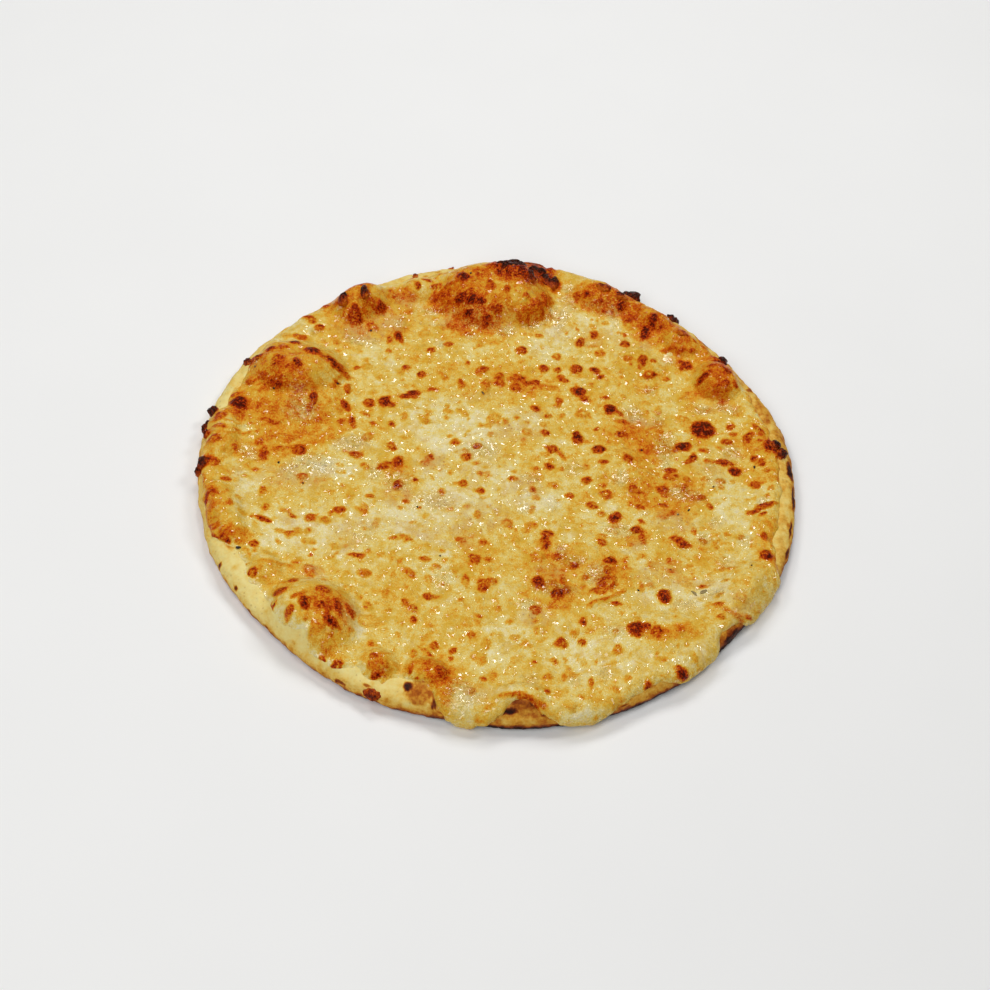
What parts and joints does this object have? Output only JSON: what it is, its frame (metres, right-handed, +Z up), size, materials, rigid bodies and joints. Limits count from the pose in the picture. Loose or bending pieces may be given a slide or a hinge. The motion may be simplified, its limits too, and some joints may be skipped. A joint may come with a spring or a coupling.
{
  "type": "cheese pizza",
  "caption": "Round uncut cheese pizza: a thin baked crust with a low, bubbled rim under a sheet of browned melted cheese that drips over it in places.",
  "frame": {"origin": "centre of the flat base, on the surface the pizza rests on", "axes": "+Z up through the pizza's thickness, +Y from the middle towards the large bubble on the rim, +X to its right seen from above"},
  "size_m": [0.3022, 0.3024, 0.024],
  "materials": {
    "crust": "matt baked dough, pale on top, browned at the rim and below",
    "cheese": "glossy melted cheese, creamy yellow with golden and brown spots"
  },
  "bodies": {
    "root": {"crust": "crust", "cheese": "cheese"}
  },
  "joints": []
}
